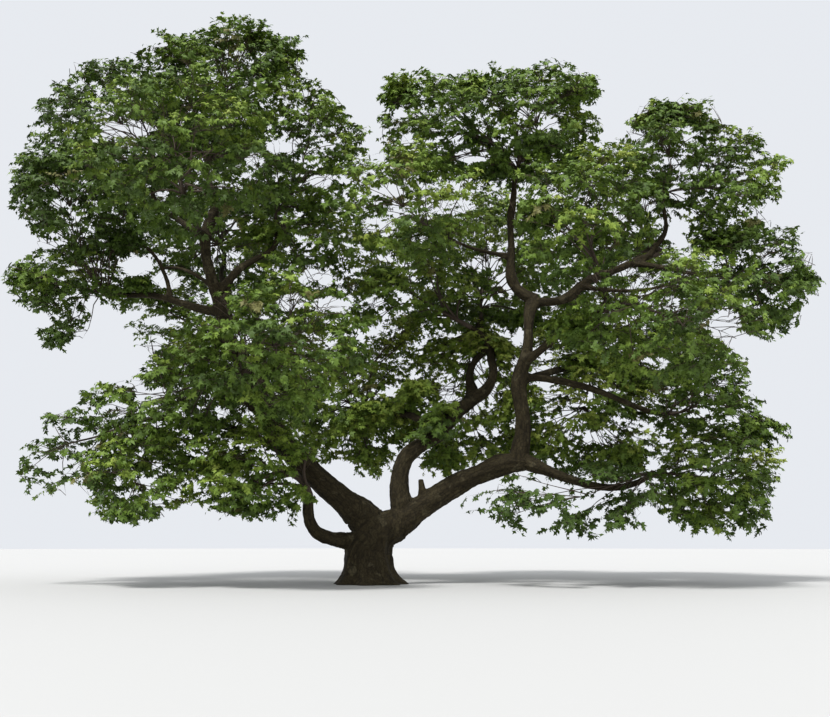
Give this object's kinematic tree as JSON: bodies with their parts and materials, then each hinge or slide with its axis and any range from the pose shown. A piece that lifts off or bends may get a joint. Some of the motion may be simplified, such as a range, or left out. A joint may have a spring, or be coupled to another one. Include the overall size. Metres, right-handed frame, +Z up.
{
  "type": "oriental plane tree",
  "caption": "Old spreading plane tree: short flared bole that forks low, long arching boughs and a wide lumpy leafy crown with gaps of sky, rooted in level ground.",
  "frame": {"origin": "on level ground, at the middle of the flat cut under the trunk", "axes": "+Z up, +X to the right and +Y away from the viewer in the view that shows the long right bough in profile"},
  "size_m": [30.4151, 19.5938, 21.5143],
  "materials": {
    "bark": "rough, dark grey-brown, fluted and flaking bark",
    "foliage": "soft mid-green leaves, lighter on top"
  },
  "bodies": {
    "root": {"trunk": "bark", "left_bough": "bark", "right_bough": "bark", "middle_bough": "bark", "low_left_limb": "bark", "broken_stub": "bark", "left_leader": "bark", "left_arm": "bark", "left_high_arm": "bark", "left_inner_arm": "bark", "left_front_arm": "bark", "left_back_arm": "bark", "left_fore_limb": "bark", "left_rear_limb": "bark", "left_skirt_limb": "bark", "middle_upper": "bark", "middle_rear": "bark", "middle_low": "bark", "right_upright": "bark", "right_low_arm": "bark", "right_side_arm": "bark", "right_leader": "bark", "right_cross_arm": "bark", "right_arm": "bark", "right_arm_peak": "bark", "right_arm_end": "bark", "right_fore_limb": "bark", "right_rear_limb": "bark", "left_top_mass": "foliage", "left_shoulder_mass": "foliage", "left_far_mass": "foliage", "left_end_mass": "foliage", "left_inner_mass": "foliage", "left_hollow_mass": "foliage", "left_front_mass": "foliage", "left_back_mass": "foliage", "left_fore_mass": "foliage", "left_rear_mass": "foliage", "left_skirt_mass": "foliage", "left_fringe_mass": "foliage", "left_low_mass": "foliage", "low_left_mass": "foliage", "middle_top_mass": "foliage", "middle_rear_mass": "foliage", "middle_low_mass": "foliage", "middle_inside_mass": "foliage", "centre_top_mass": "foliage", "centre_left_mass": "foliage", "centre_cross_mass": "foliage", "centre_front_mass": "foliage", "right_peak_mass": "foliage", "right_crest_mass": "foliage", "right_mid_mass": "foliage", "right_end_mass": "foliage", "right_fore_mass": "foliage", "right_rear_mass": "foliage", "right_side_mass": "foliage", "right_inside_mass": "foliage", "right_low_mass": "foliage", "right_hang_mass": "foliage"}
  },
  "joints": []
}
